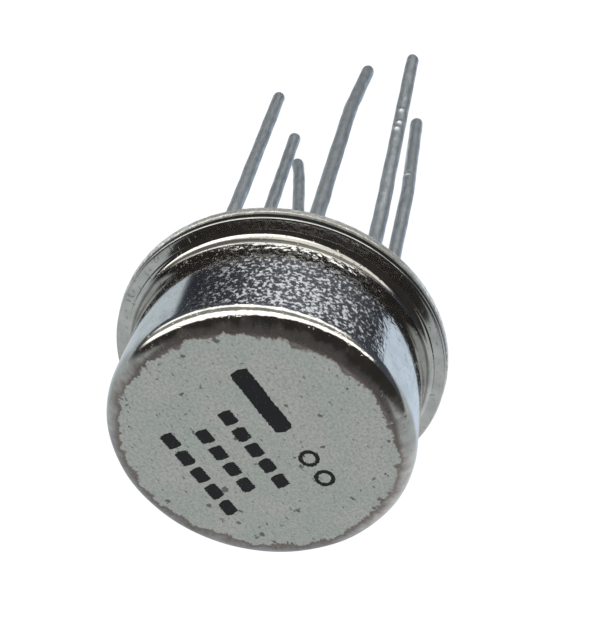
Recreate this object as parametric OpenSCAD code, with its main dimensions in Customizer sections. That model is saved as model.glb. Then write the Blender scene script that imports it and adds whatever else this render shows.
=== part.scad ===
// Optocoupler in a round metal can: an infrared emitter faces a phototransistor
// inside a welded cap, on a glass-sealed header with six leads and an index tab.
// Millimetres. The origin is the centre of the seating plane under the header's
// flange, +Z points to the crown of the cap and +X to the index tab.

/* [Cap] */
// Height of the crown above the seating plane
body_h = 4; // [3.9:0.05:4.7]
// Outer diameter of the cap's wall
cap_d = 7.9; // [7.75:0.05:8.2]
// Thickness of the drawn cap
cap_t = 0.25; // [0.2:0.01:0.3]
// Outer radius where the wall turns into the crown
crown_r = 0.55; // [0.35:0.05:0.7]
// Radius of the slow flare where the wall starts to widen
flare_r = 1.4; // [1:0.05:1.6]
// Radius of the quicker flare below it
foot_r = 0.65; // [0.5:0.01:0.8]
// Radius of the corner between the flare and the cap's flange
corner_r = 0.17; // [0.1:0.01:0.25]
// Width of the flat of the cap's flange, out to its rim
cap_flange_w = 0.291; // [0.25:0.001:0.35]

/* [Header] */
// How far the header's flange shows past the cap's flange
flange_out = 0.04; // [0:0.01:0.1]
// Thickness of the header's flange
flange_t = 0.25; // [0.2:0.01:0.3]
// Gap between the raised platform and the inside of the cap
platform_gap = 0.2; // [0.15:0.01:0.25]
// Height of the platform's top above the seating plane
platform_h = 1.5; // [1.3:0.05:1.7]
// Thickness of the platform and its wall
header_t = 0.3; // [0.2:0.01:0.35]
// Inside radius of the header's stamped bends
stamp_r = 0.12; // [0.05:0.01:0.15]
// Width of the index tab
tab_w = 0.79; // [0.71:0.01:0.86]
// Length of the index tab past the flange
tab_l = 0.9; // [0.74:0.01:1.14]
// Corner radius at the end of the index tab
tab_r = 0.12; // [0.05:0.01:0.3]
// Width of the rounding on the rims of both flanges
rim_r = 0.05; // [0.02:0.01:0.09]

/* [Glass] */
// Depth of the glass inside the underside of the header
glass_recess = 0.42; // [0.38:0.01:0.6]
// Diameter of the glass around each lead in the platform
bead_d = 1; // [0.9:0.02:1.04]

/* [Leads] */
// Diameter of the circle through the leads
pin_circle_d = 5.08; // [4.95:0.01:5.2]
// Diameter of a lead below the seating plane, with its solder coat
lead_d = 0.45; // [0.44:0.01:0.53]
// Diameter of the bare lead in the glass
core_d = 0.43; // [0.36:0.01:0.43]
// Length of the longest leads below the seating plane
lead_l = 16; // [13:0.05:19]
// How much shorter lead 1 is cut
cut_1 = 0.25; // [0:0.01:0.5]
// How much shorter lead 3 is cut
cut_3 = 0.25; // [0:0.01:0.5]
// How much shorter lead 6 is cut
cut_6 = 0.08; // [0:0.01:0.5]
// Straight length of a lead below the seating plane
root_l = 2; // [1.5:0.1:3]
// Centre-line radius of the bends
bend_r = 3; // [2:0.1:4]
// Straight length of lead 1 between its bends
mid_1 = 8; // [3:0.5:9]
// Straight length of lead 2 between its bends
mid_2 = 3; // [3:0.5:9]
// Straight length of lead 3 between its bends
mid_3 = 9; // [3:0.5:9]
// Straight length of lead 5 between its bends
mid_5 = 4.5; // [3:0.5:9]
// Straight length of lead 6 between its bends
mid_6 = 6.5; // [3:0.5:9]
// Straight length of lead 7 between its bends
mid_7 = 8; // [3:0.5:9]
// Height of the leads that take bond wires above the platform
post_h = 0.6; // [0.4:0.05:0.8]
// Height of the two leads under the emitter's carrier above the platform
tall_post_h = 1.04; // [1:0.02:1.2]
// Diameter of the flattened head on each lead
head_d = 0.76; // [0.6:0.02:0.8]
// Thickness of the flattened head
head_t = 0.12; // [0.08:0.01:0.2]

/* [Detector] */
// Side of the square phototransistor die
detector_w = 1.3; // [1.2:0.02:1.4]
// Thickness of the phototransistor die
detector_t = 0.25; // [0.2:0.01:0.3]
// Thickness of the die attach under it
detector_attach_t = 0.03; // [0.02:0.01:0.05]
// How far the die attach shows around the die
attach_out = 0.06; // [0.03:0.01:0.1]
// Side of each bond pad on the die
pad_w = 0.14; // [0.12:0.01:0.16]
// Distance from a bond pad to the die's edge
pad_edge = 0.06; // [0.04:0.01:0.08]

/* [Emitter] */
// Side of the square emitter die
emitter_w = 0.36; // [0.3:0.01:0.4]
// Thickness of the emitter die
emitter_t = 0.2; // [0.15:0.01:0.25]
// Thickness of the conductive adhesive behind it
emitter_attach_t = 0.02; // [0.02:0.01:0.04]
// Thickness of the ceramic carrier
carrier_t = 0.38; // [0.25:0.01:0.5]
// How far the carrier reaches past the emitter's centre and past the leads
carrier_edge = 0.45; // [0.4:0.01:0.6]
// Thickness of the printed metal, on the carrier and on the phototransistor
metal_t = 0.02; // [0.02:0.01:0.03]
// Width of the carrier's tracks
track_w = 0.3; // [0.2:0.01:0.35]
// Distance from the emitter's centre to its wire's far bond
track_reach = 0.46; // [0.44:0.01:0.5]
// Bare ceramic between the two tracks beside the emitter
track_gap = 0.08; // [0.06:0.01:0.1]
// Thickness of the solder between the carrier and its leads
solder_t = 0.04; // [0.02:0.01:0.06]

/* [Coupling] */
// Diameter of the clear coupling where it sits on the phototransistor
coupling_d = 1.06; // [1:0.02:1.1]
// Diameter of the clear coupling against the carrier
coupling_top_d = 1.44; // [1.3:0.02:1.5]

/* [Bond wires] */
// Diameter of a bond wire
wire_d = 0.05; // [0.04:0.005:0.06]
// Straight rise of a wire past the height of its lead
wire_rise = 0.2; // [0.1:0.02:0.3]
// Straight rise of the emitter's wire
emitter_wire_rise = 0.08; // [0.06:0.01:0.1]
// Radius of a wire's bend
wire_r = 0.12; // [0.08:0.01:0.13]
// Diameter of the bond at each end of a wire
bond_d = 0.11; // [0.1:0.01:0.12]
// Height of the bond at each end of a wire
bond_t = 0.07; // [0.065:0.005:0.09]
// Place of the collector wire's bond on the platform, as a share of the way to its lead
collector_share = 0.55; // [0.5:0.01:0.6]

/* [Hidden] */
$fn = 64;

// Each lead: its place counted in eighths of a turn from the tab, its height above
// the platform, the angle and heading of the bend under its straight root, its length
// to the second bend, that bend's angle and heading, and how much shorter it is cut. The
// bends are from handling.
LEADS = [
    [1, tall_post_h, 2.4, 84, mid_1, 2.6, -101, cut_1],
    [2, post_h, 2.1, 82, mid_2, 2.7, 158, 0],
    [3, tall_post_h, 2.5, -13, mid_3, 3.8, -4, cut_3],
    [5, post_h, 1.1, -108, mid_5, 1.4, 18, 0],
    [6, post_h, 0.8, 62, mid_6, 0.3, -170, cut_6],
    [7, post_h, 3.8, -124, mid_7, 3.7, -124, 0]
];

hair = lead_d / 150;
// The foot of the cap's wall leans out by these angles where one radius hands over to
// the next, and by 90 degrees at the flange
flare_lean = 14;
foot_lean = 37;
corner_at = [
    cap_d / 2 + flare_r * (1 - cos(flare_lean)) + foot_r * (cos(flare_lean) - cos(foot_lean)) + corner_r * cos(foot_lean),
    flange_t + cap_t + corner_r
];
foot_at = corner_at + (foot_r - corner_r) * [cos(foot_lean), sin(foot_lean)];
flare_at = foot_at + (flare_r - foot_r) * [cos(flare_lean), sin(flare_lean)];
cap_flange_d = 2 * (corner_at.x + cap_flange_w);
flange_d = cap_flange_d + 2 * flange_out;
flange_top = flange_t;
platform_d = cap_d - 2 * (cap_t + platform_gap);
cavity_r = platform_d / 2 - header_t;
cavity_h = platform_h - header_t;

detector_z = platform_h + detector_attach_t;
detector_top = detector_z + detector_t;
pad_at = detector_w / 2 - pad_edge - pad_w / 2;

track_z = platform_h + tall_post_h + solder_t;
carrier_z = track_z + metal_t;
emitter_z = track_z - emitter_attach_t - emitter_t;

function pin_at(place) = pin_circle_d / 2 * [cos(45 * place), sin(45 * place)];
function post_top(h) = platform_h + h;
// Points on an arc from angle a0 to angle a1, both ends included
function arc(x, y, r, a0, a1, n = 8) =
    [for (i = [0:n]) let (a = a0 + (a1 - a0) * i / n) [x + r * cos(a), y + r * sin(a)]];

// ---- cap ----

// The points of an arc that goes on from the one before it, without the point they share
function onward(points) = [for (i = [1:len(points) - 1]) points[i]];

// Half section of the cap from its flange's underside; grow is 0 for the outer skin
// and the wall's thickness for the inner one
function cap_skin(grow) = let (
    wall = cap_d / 2 - grow,
    top = body_h - grow,
    turn = crown_r - grow
) concat(
    arc(corner_at.x, corner_at.y, corner_r + grow, 270, 180 + foot_lean, 4),
    onward(arc(foot_at.x, foot_at.y, foot_r + grow, 180 + foot_lean, 180 + flare_lean, 5)),
    onward(arc(flare_at.x, flare_at.y, flare_r + grow, 180 + flare_lean, 180, 4)),
    arc(wall - turn, top - turn, turn, 0, 90, 10)
);

module cap() {
    flange_r = cap_flange_d / 2;
    outer = cap_skin(0);
    inner = cap_skin(cap_t);
    color("silver")
    rotate_extrude($fn = 96)
    polygon(concat(
        [[0, body_h]],
        [for (i = [len(outer) - 1:-1:0]) outer[i]],
        arc(flange_r - rim_r, flange_top + cap_t - rim_r, rim_r, 90, 0, 3),
        arc(flange_r - rim_r, flange_top + rim_r, rim_r, 0, -90, 3),
        inner,
        [[0, body_h - cap_t]]
    ));
}

// ---- header ----

module header() {
    flange_r = flange_d / 2;
    wall_r = platform_d / 2;
    color("gainsboro")
    difference() {
        union() {
            rotate_extrude($fn = 96)
            polygon(concat(
                arc(flange_r - rim_r, rim_r, rim_r, 270, 360, 3),
                arc(flange_r - rim_r, flange_top - rim_r, rim_r, 0, 90, 3),
                arc(wall_r + stamp_r, flange_top + stamp_r, stamp_r, 270, 180, 5),
                arc(wall_r - stamp_r - header_t, platform_h - stamp_r - header_t, stamp_r + header_t, 0, 90, 6),
                [[0, platform_h], [0, cavity_h]],
                arc(cavity_r - stamp_r, cavity_h - stamp_r, stamp_r, 90, 0, 5),
                arc(cavity_r + stamp_r + flange_t, stamp_r + flange_t, stamp_r + flange_t, 180, 270, 6)
            ));
            linear_extrude(flange_t)
            polygon(concat(
                [[flange_r - tab_w / 2, -tab_w / 2]],
                arc(flange_r + tab_l - tab_r, -tab_w / 2 + tab_r, tab_r, 270, 360, 4),
                arc(flange_r + tab_l - tab_r, tab_w / 2 - tab_r, tab_r, 0, 90, 4),
                [[flange_r - tab_w / 2, tab_w / 2]]
            ));
        }
        at_pins() translate([0, 0, cavity_h - header_t]) cylinder(d = bead_d, h = 3 * header_t);
    }
}

// Repeats its children on the axis of every lead
module at_pins() {
    for (l = LEADS) translate(pin_at(l[0])) children();
}

module glass_seal() {
    color("steelblue", 0.6)
    difference() {
        union() {
            rotate_extrude($fn = 96)
            polygon(concat(
                [[0, glass_recess], [cavity_r, glass_recess]],
                arc(cavity_r - stamp_r, cavity_h - stamp_r, stamp_r, 0, 90, 5),
                [[0, cavity_h]]
            ));
            at_pins() translate([0, 0, cavity_h - header_t / 2]) cylinder(d = bead_d, h = header_t * 3 / 2);
        }
        at_pins() cylinder(d = core_d, h = 2 * platform_h);
    }
}

// The round bar of a bend, from the x axis to the given angle. It laps over the
// straight lengths at its ends, and is thicker by a hair so that it holds them.
module sweep(angle, r, d) {
    lap = 5 * hair / r * 180 / PI;
    rotate_extrude(start = -lap, angle = angle + 2 * lap, $fn = 96)
    translate([r, 0]) circle(d = d + 2 * hair);
}

// ---- leads ----

// A round length of lead that runs down from the origin
module run(l) {
    translate([0, 0, -l]) cylinder(d = lead_d, h = l);
}

// A bend of the given angle towards the heading; its children go on from its end
module bend(angle, heading) {
    rotate([0, 0, heading]) {
        translate([bend_r, 0, 0])
        rotate([-90, 0, 180])
        sweep(angle, bend_r, lead_d);
        translate([bend_r - bend_r * cos(angle), 0, -bend_r * sin(angle)])
        rotate([0, -angle, 0])
        rotate([0, 0, -heading])
        children();
    }
}

// The last length of a lead, with the solder rounded over its end
module tip(l) {
    r = lead_d / 2;
    rotate_extrude()
    polygon(concat([[0, 0], [r, 0]], arc(0, r - l, r, 0, -90, 5)));
}

module lead(index) {
    $fn = 32;
    l = LEADS[index];
    top = post_top(l[1]);
    bends_l = bend_r * (l[2] + l[5]) * PI / 180;
    color("darkgray")
    translate(pin_at(l[0])) {
        run(root_l);
        translate([0, 0, -root_l])
        bend(l[2], l[3]) {
            run(l[4]);
            translate([0, 0, -l[4]])
            bend(l[5], l[6])
            tip(lead_l - l[7] - root_l - l[4] - bends_l);
        }
        cylinder(d = core_d, h = top - head_t / 2);
        translate([0, 0, top - head_t]) cylinder(d = head_d, h = head_t);
    }
}

module lead_1() lead(0);
module lead_2() lead(1);
module lead_3() lead(2);
module lead_5() lead(3);
module lead_6() lead(4);
module lead_7() lead(5);

// ---- phototransistor ----

module block(w, t) {
    translate([-w / 2, -w / 2, 0]) cube([w, w, t]);
}

module detector_attach() {
    color("goldenrod")
    translate([0, 0, platform_h]) block(detector_w + 2 * attach_out, detector_attach_t);
}

module detector_die() {
    color("slategray")
    translate([0, 0, detector_z]) block(detector_w, detector_t);
}

// The bond pads of the base and the emitter, on the corners nearest their leads
module detector_metal() {
    color("lightgray")
    for (side = [-1, 1])
        translate([side * pad_at, -pad_at, detector_top]) block(pad_w, metal_t);
}

// ---- emitter on its carrier ----

module emitter_carrier() {
    pin = pin_at(1);
    color("ivory")
    translate([-pin.x - carrier_edge, -carrier_edge, carrier_z])
    cube([2 * (pin.x + carrier_edge), pin.y + 2 * carrier_edge, carrier_t]);
}

// A printed track from a pad near the emitter to the head of a lead
module track(from, pad, to) {
    color("gold")
    translate([0, 0, track_z])
    linear_extrude(metal_t) {
        translate([from - pad / 2, -pad / 2]) square(pad);
        translate([from - track_w / 2, 0]) square([track_w, to.y + track_w / 2]);
        translate([min(from, to.x), to.y - track_w / 2]) square([abs(to.x - from), track_w]);
        translate(to) circle(d = head_d, $fn = 32);
    }
}

module anode_track() {
    pad = 2 * (track_reach - emitter_w / 2 - attach_out - track_gap);
    track(track_reach, pad, pin_at(1));
}

module cathode_track() {
    track(0, emitter_w + 2 * attach_out, pin_at(3));
}

module carrier_solder() {
    color("lightsteelblue")
    for (place = [1, 3])
        translate(pin_at(place)) translate([0, 0, track_z - solder_t])
        cylinder(d = head_d, h = solder_t, $fn = 32);
}

module emitter_attach() {
    color("darkkhaki")
    translate([0, 0, track_z - emitter_attach_t]) block(emitter_w + attach_out, emitter_attach_t);
}

module emitter_die() {
    color("dimgray")
    translate([0, 0, emitter_z]) block(emitter_w, emitter_t);
}

// Clear silicone that carries the light from the emitter down to the phototransistor
module light_coupling() {
    h = carrier_z - detector_top;
    bulge = (coupling_top_d - coupling_d) / 2;
    color("azure", 0.5)
    difference() {
        translate([0, 0, detector_top])
        rotate_extrude()
        polygon(concat(
            [[0, 0]],
            [for (i = [0:8]) let (s = i / 8) [coupling_d / 2 + bulge * s * s, h * s]],
            [[0, h]]
        ));
        emitter_die();
        emitter_attach();
        anode_track();
        cathode_track();
        wire_anode();
    }
}

// ---- bond wires ----

// A wire from a bond at the origin, up, over and straight down to a bond at [reach, 0, drop]
module wire(reach, drop, rise) {
    foot = drop + bond_t / 2;
    a = reach - wire_r;
    b = rise - foot;
    slope = round(10 * (atan2(b, a) + asin(wire_r / norm([a, b])))) / 10;
    color("gold") {
        cylinder(d = bond_d, h = bond_t, $fn = 24);
        cylinder(d = wire_d, h = rise, $fn = 8);
        translate([wire_r, 0, rise])
        rotate([90, 0, 180])
        sweep(90 + slope, wire_r, wire_d, $fn = 8);
        translate([wire_r + wire_r * sin(slope), 0, rise + wire_r * cos(slope)])
        rotate([0, 90 + slope, 0])
        cylinder(d = wire_d, h = (a - wire_r * sin(slope)) / cos(slope), $fn = 8);
        translate([reach, 0, drop]) cylinder(d = bond_d, h = bond_t, $fn = 24);
    }
}

// A wire from one point to a higher one, each given as [x, y, z]
module wire_between(from, to) {
    d = to - from;
    translate(from)
    rotate([0, 0, atan2(d.y, d.x)])
    wire(norm([d.x, d.y]), d.z, d.z + wire_rise);
}

function head_at(place) = [pin_at(place).x, pin_at(place).y, post_top(post_h)];

// From the platform, which is the phototransistor's collector, to its lead
module wire_collector() {
    start = collector_share * pin_at(5);
    wire_between([start.x, start.y, platform_h], head_at(5));
}

module wire_base() {
    wire_between([-pad_at, -pad_at, detector_top + metal_t], head_at(6));
}

module wire_emitter() {
    wire_between([pad_at, -pad_at, detector_top + metal_t], head_at(7));
}

// The emitter faces down, so its wire hangs from it and climbs back to the track
module wire_anode() {
    translate([0, 0, emitter_z])
    mirror([0, 0, 1])
    wire(track_reach, -(track_z - emitter_z), emitter_wire_rise);
}

cap();
header();
glass_seal();
lead_1();
lead_2();
lead_3();
lead_5();
lead_6();
lead_7();
detector_attach();
detector_die();
detector_metal();
emitter_carrier();
anode_track();
cathode_track();
carrier_solder();
emitter_attach();
emitter_die();
light_coupling();
wire_collector();
wire_base();
wire_emitter();
wire_anode();
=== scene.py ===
import math

import bpy
import numpy as np
from mathutils import Matrix


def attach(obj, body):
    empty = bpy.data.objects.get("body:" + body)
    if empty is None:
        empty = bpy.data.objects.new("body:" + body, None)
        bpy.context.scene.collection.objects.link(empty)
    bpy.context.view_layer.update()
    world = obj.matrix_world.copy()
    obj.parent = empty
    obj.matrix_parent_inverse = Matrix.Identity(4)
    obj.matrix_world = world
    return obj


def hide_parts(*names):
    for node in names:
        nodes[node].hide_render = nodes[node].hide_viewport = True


mm = 0.001

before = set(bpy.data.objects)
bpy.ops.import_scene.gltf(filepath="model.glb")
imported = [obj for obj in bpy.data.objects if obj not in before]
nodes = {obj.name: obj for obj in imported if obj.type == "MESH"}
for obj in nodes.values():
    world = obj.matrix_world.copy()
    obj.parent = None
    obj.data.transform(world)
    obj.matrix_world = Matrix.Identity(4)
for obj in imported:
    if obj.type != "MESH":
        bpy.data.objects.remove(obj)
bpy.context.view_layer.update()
print("frame loaded:", len(nodes), "nodes")


def linearColor(hexText):
    # sRGB hex to linear: divided by 12.92 near black, otherwise the 2.4 power curve
    parts = [int(hexText[i:i + 2], 16) / 255 for i in (1, 3, 5)]
    return tuple(p / 12.92 if p <= 0.04045 else ((p + 0.055) / 1.055) ** 2.4 for p in parts) + (1.0,)


def addNode(tree, kind, inputs=(), stops=(), **settings):
    # inputs holds values or sockets to link, by socket name or number; stops are a ramp's colours
    node = tree.nodes.new(kind)
    for name, value in settings.items():
        setattr(node, name, value)
    for key, value in dict(inputs).items():
        if isinstance(value, bpy.types.NodeSocket):
            tree.links.new(value, node.inputs[key])
        else:
            node.inputs[key].default_value = value
    for i, (place, color) in enumerate(stops):
        elements = node.color_ramp.elements
        element = elements[i] if i < 2 else elements.new(place)
        element.position = place
        element.color = linearColor(color)
    return node


def newMaterial(name):
    material = bpy.data.materials.new(name)
    material.use_nodes = True
    tree = material.node_tree
    tree.nodes.clear()
    return material, tree


def finishMaterial(tree, shader):
    addNode(tree, "ShaderNodeOutputMaterial", {"Surface": shader})


cameraView = {
    "place": (-13.959, 14.4189, 26.0654),          # mm
    "right": (0.549315, 0.823497, -0.141796),
    "up": (-0.728699, 0.389035, -0.563604),
    "back": (-0.408963, 0.412923, 0.813784),
    "lens": 68.775,                                # mm, on a sensor 36 mm wide
}

camera = bpy.data.cameras.new("camera")
camera.sensor_width = 36
camera.lens = cameraView["lens"]
camera.clip_start = 0.001
camera.clip_end = 10
cameraObject = bpy.data.objects.new("camera", camera)
axes = Matrix((cameraView["right"], cameraView["up"], cameraView["back"])).transposed()
place = Matrix.Translation([v * mm for v in cameraView["place"]])
cameraObject.matrix_world = place @ axes.to_4x4()
bpy.context.scene.collection.objects.link(cameraObject)
bpy.context.scene.camera = cameraObject
bpy.context.scene.view_settings.view_transform = "Standard"

studio = {                             # sizes in mm
    "floorHeight": -16.01,             # under the tips of the leads
    "floorSize": 900,
    "paper": "#E9E9E9",                # the floor as the part sees it
    "paperShade": 0.08,                # how much of the shadows on it the camera sees
    "paperWhite": 0.95,                # its brightness in the camera
    "tentRadius": 300,
    "softLight": 0.8,                  # world seen by matt surfaces
    "keyPlace": (-130, 40, 260),
    "keySize": 160,
    "keyPower": 0.6,                   # watts
}

world = bpy.data.worlds.new("studio")
world.use_nodes = True
tree = world.node_tree
tree.nodes.clear()
path = addNode(tree, "ShaderNodeLightPath")
seen = addNode(tree, "ShaderNodeMath", {
    0: path.outputs["Is Camera Ray"], 1: path.outputs["Is Glossy Ray"],
}, operation="MAXIMUM")
seen = addNode(tree, "ShaderNodeMath", {
    0: seen.outputs[0], 1: path.outputs["Is Transmission Ray"],
}, operation="MAXIMUM")
strength = addNode(tree, "ShaderNodeMapRange", {
    "Value": seen.outputs[0], "To Min": studio["softLight"], "To Max": 1.0,
})
background = addNode(tree, "ShaderNodeBackground", {
    "Color": (1, 1, 1, 1), "Strength": strength.outputs[0],
})
addNode(tree, "ShaderNodeOutputWorld", {"Surface": background.outputs[0]})
bpy.context.scene.world = world


def newPiece(name, points, faces, smooth=False):
    # points in metres, and the numbers of each face's corners
    mesh = bpy.data.meshes.new(name)
    mesh.from_pydata(points, [], faces)
    mesh.update()
    if smooth:
        mesh.shade_smooth()
    piece = bpy.data.objects.new(name, mesh)
    bpy.context.scene.collection.objects.link(piece)
    return piece


def gridFaces(index, closed):
    # one face between each four neighbours in a grid of point numbers; where it is closed, the
    # last column meets the first
    if closed:
        index = np.concatenate([index, index[:, :1]], 1)
    return np.stack([index[:-1, :-1], index[1:, :-1], index[1:, 1:], index[:-1, 1:]], -1).reshape(-1, 4)


def gridPiece(name, grid, closed=False):
    # grid[i, j] is a point of the sheet, in metres
    rows, columns = grid.shape[:2]
    index = np.arange(rows * columns).reshape(rows, columns)
    return newPiece(name, grid.reshape(-1, 3), gridFaces(index, closed))


def smoothStep(low, high, value):
    # 0 at low and 1 at high, smooth between them; with low above high it falls
    t = np.clip((value - low) / (high - low), 0, 1)
    return t * t * (3 - 2 * t)


def unit(v):
    return np.array(v) / np.linalg.norm(v)


def compass(heading):
    # level unit vector at a heading in degrees
    return np.array([math.cos(math.radians(heading)), math.sin(math.radians(heading)), 0])


# The light tent as polished metal sees it, as a glow for each direction from the part: bearing is
# the angle round from the lens and rise the angle above level, both in degrees. It is dark over
# and round the lens, with two long strip lights in front of the part, one about level in a faint
# wide glow and one low, a dark table below them, and pale cloth at the sides and behind.
tentTones = {
    "cloth": (0.5, 0.55, 0.56),
    "behind": (0.36, 0.39, 0.42),
    "behindRight": (0.66, 0.69, 0.72),
    "lowCloth": (0.68, 0.81, 0.95),
    "lowLeft": (0.56, 0.65, 0.71),
    "lowBehind": (0.62, 0.64, 0.68),
    "roof": (0.034, 0.028, 0.026),
    "dark": (0.036, 0.034, 0.031),         # roof and screens round the lens
    "lowDark": (0.08, 0.09, 0.11),
    "table": (0.03, 0.034, 0.044),
    "tableMiddle": (0.13, 0.145, 0.17),    # straight below the lens
}
stripLights = [
    # bearings, the rise and the half width at each, the soft edge, and the tone
    ((-46, 0, 40, 88), (-20, -22, -14, -8), (12, 13, 12, 9), 8, (0.3, 0.3, 0.27)),
    ((-56, -14, 16, 46, 76, 92), (-12, -3, 5, 10, 9, 2), (5, 9, 12, 12, 9, 5), 5, (2.2, 2.16, 2.02)),
    ((-40, 0, 30, 60, 84), (-36, -38, -35, -28, -19), (6, 9, 8, 6, 4), 6, (1.9, 1.94, 1.9)),
]

tilt = np.radians(np.linspace(-90, 90, 181))[:, None]
turn = np.radians(np.arange(0, 360, 1.0))[None, :]
out = np.cos(tilt)
direction = np.stack([out * np.cos(turn), out * np.sin(turn), np.sin(tilt) + 0 * turn], -1)
tent = gridPiece("lightTent", direction * studio["tentRadius"] * mm, closed=True)
lens = unit(cameraView["back"])
rise = np.degrees(tilt + 0 * turn)
bearing = (np.degrees(turn + 0 * tilt) - math.degrees(math.atan2(lens[1], lens[0])) + 180) % 360 - 180
fromLens = abs(bearing)


def lay(glow, share, tone):
    # the tone laid over the glow, 0 none of it and 1 all
    return glow + share[..., None] * (np.array(tone) - glow)


def strip(places, heights, widths, soft):
    # 1 inside a strip whose middle line and half width change with the bearing, fading over soft
    middle = np.interp(bearing, places, heights)
    width = np.interp(bearing, places, widths)
    start = smoothStep(places[0] - soft, places[0] + soft, bearing)
    end = 1 - smoothStep(places[-1] - soft, places[-1] + soft, bearing)
    return start * end * (1 - smoothStep(width - soft / 2, width + soft / 2, abs(rise - middle)))


glow = np.zeros(direction.shape) + np.array(tentTones["cloth"])
level = 1 - smoothStep(34, 46, rise)
glow = lay(glow, level * smoothStep(140, 150, fromLens), tentTones["behind"])
right = smoothStep(-165, -150, bearing)
glow = lay(glow, level * right * (1 - smoothStep(-128, -112, bearing)), tentTones["behindRight"])
low = 1 - smoothStep(-45, -25, rise)
glow = lay(glow, low, tentTones["lowCloth"])
glow = lay(glow, low * smoothStep(80, 100, bearing), tentTones["lowLeft"])
glow = lay(glow, low * smoothStep(142, 152, fromLens), tentTones["lowBehind"])
glow = lay(glow, smoothStep(54, 62, rise), tentTones["roof"])
glow = lay(glow, smoothStep(44, 50, rise) * (1 - smoothStep(144, 152, fromLens)), tentTones["dark"])
# the screens round the lens are narrower lower down
frontRight = smoothStep(-5, 5, bearing + np.interp(rise, (-30, 0), (77, 95)))
frontLeft = 1 - smoothStep(-5, 5, bearing - np.interp(rise, (-30, 0), (92, 103)))
front = frontRight * frontLeft
glow = lay(glow, front * (1 - smoothStep(56, 88, rise)), tentTones["dark"])
glow = lay(glow, front * (1 - smoothStep(-12, 0, rise)), tentTones["lowDark"])
for places, heights, widths, soft, tone in stripLights:
    glow = lay(glow, strip(places, heights, widths, soft), tone)
table = front * (1 - smoothStep(-54, -47, rise))
glow = lay(glow, table, tentTones["table"])
middle = np.interp(bearing, (-75, -50, -20, 10, 40, 75), (0, 0.5, 1, 1, 0.3, 0))
glow = lay(glow, table * middle, tentTones["tableMiddle"])
colors = np.concatenate([glow, np.ones(glow.shape[:2] + (1,))], -1).astype(np.float32)
attribute = tent.data.color_attributes.new("glow", "FLOAT_COLOR", "POINT")
attribute.data.foreach_set("color", colors.ravel())
material, tree = newMaterial("tentCloth")
glowNode = addNode(tree, "ShaderNodeVertexColor", layer_name="glow")
shine = addNode(tree, "ShaderNodeEmission", {"Color": glowNode.outputs["Color"], "Strength": 1.0})
finishMaterial(tree, shine.outputs[0])
material.cycles.emission_sampling = "NONE"
tent.data.materials.append(material)
tent.visible_camera = False
tent.visible_diffuse = False
tent.visible_transmission = False
tent.visible_shadow = False

half = studio["floorSize"] / 2 * mm
corners = np.array([[[-half, -half, 0], [-half, half, 0]], [[half, -half, 0], [half, half, 0]]])
floor = gridPiece("floor", corners + [0, 0, studio["floorHeight"] * mm])
material, tree = newMaterial("floorPaper")
path = addNode(tree, "ShaderNodeLightPath")
paper = addNode(tree, "ShaderNodeBsdfDiffuse", {"Color": linearColor(studio["paper"])})
faint = addNode(tree, "ShaderNodeBsdfDiffuse", {"Color": (studio["paperShade"],) * 3 + (1,)})
white = addNode(tree, "ShaderNodeEmission", {"Color": (1, 1, 1, 1), "Strength": studio["paperWhite"]})
toCamera = addNode(tree, "ShaderNodeAddShader", {0: faint.outputs[0], 1: white.outputs[0]})
mix = addNode(tree, "ShaderNodeMixShader", {
    0: path.outputs["Is Camera Ray"], 1: paper.outputs[0], 2: toCamera.outputs[0],
})
finishMaterial(tree, mix.outputs[0])
material.cycles.emission_sampling = "NONE"
floor.data.materials.append(material)
floor.visible_glossy = False

lamp = bpy.data.lights.new("keyLamp", "AREA")
lamp.shape = "DISK"
lamp.size = studio["keySize"] * mm
lamp.energy = studio["keyPower"]
lampObject = bpy.data.objects.new("keyLamp", lamp)
place = np.array(studio["keyPlace"]) * mm
back = unit(place)
side = unit(np.cross((0, 0, 1), back))
axes = Matrix(np.stack([side, np.cross(back, side), back])).transposed()
lampObject.matrix_world = Matrix.Translation(place) @ axes.to_4x4()
lampObject.visible_glossy = False
bpy.context.scene.collection.objects.link(lampObject)
print("camera and light ready")


def arc(x, y, radius, start, end, count):
    # points on a circle round (x, y), from the start to the end angle in degrees
    angle = np.radians(np.linspace(start, end, count))
    return np.stack([x + radius * np.cos(angle), y + radius * np.sin(angle)], -1)


def line(start, end, count):
    share = np.linspace(0, 1, count)[:, None]
    return np.array(start) + (np.array(end) - np.array(start)) * share


def waves(seed, angle, along, turns, pitch, count=9):
    # sum of cosines with whole numbers of turns round the axis and random phases, about -1 to 1;
    # pitch is the shortest wave along the other parameter
    chance = np.random.default_rng(seed)
    total = 0
    for _ in range(count):
        m = chance.integers(turns[0], turns[1] + 1)
        n = chance.uniform(-2 * math.pi, 2 * math.pi) / pitch
        total = total + np.cos(m * angle + n * along + chance.uniform(0, 6.28))
    return total / count ** 0.5


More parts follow.
